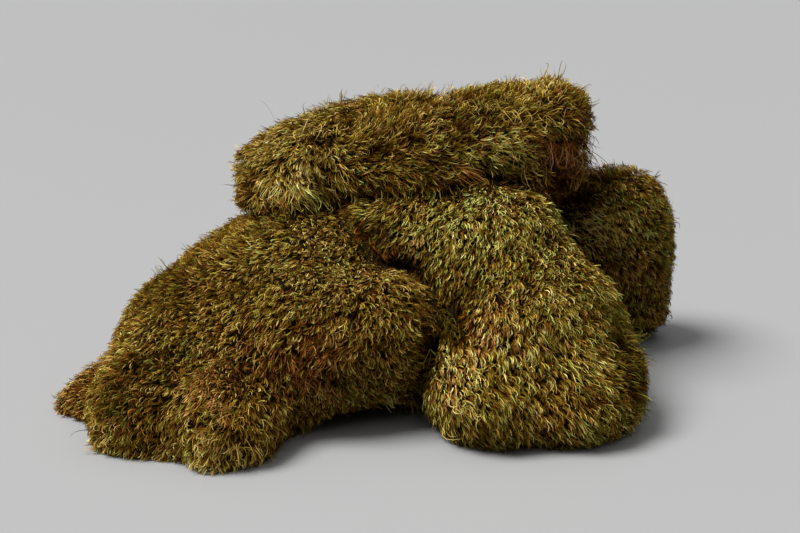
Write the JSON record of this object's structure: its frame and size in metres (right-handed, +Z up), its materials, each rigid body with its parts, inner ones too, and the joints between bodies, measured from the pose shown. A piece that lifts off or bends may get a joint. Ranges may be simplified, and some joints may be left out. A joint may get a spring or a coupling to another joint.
{
  "type": "moss clump",
  "caption": "Heap of thick folded mats of combed green-gold moss, trimmed flat underneath so that it rests on a shelf, table or forest floor.",
  "frame": {"origin": "middle of the heap's outline on the ground that it rests on", "axes": "+X along the heap's longest side, +Y to its back, +Z up"},
  "size_m": [0.472, 0.3318, 0.2226],
  "materials": {
    "left_moss": "matte olive and gold-brown moss, combed like fur",
    "front_moss": "matte yellow-green and straw moss, combed downwards",
    "top_moss": "matte olive and gold moss, tousled, brown at the torn ends",
    "back_moss": "matte dark green-brown moss, short and fine"
  },
  "bodies": {
    "root": {"left_mat": "left_moss", "front_mat": "front_moss", "top_mat": "top_moss", "back_mat": "back_moss"}
  },
  "joints": []
}
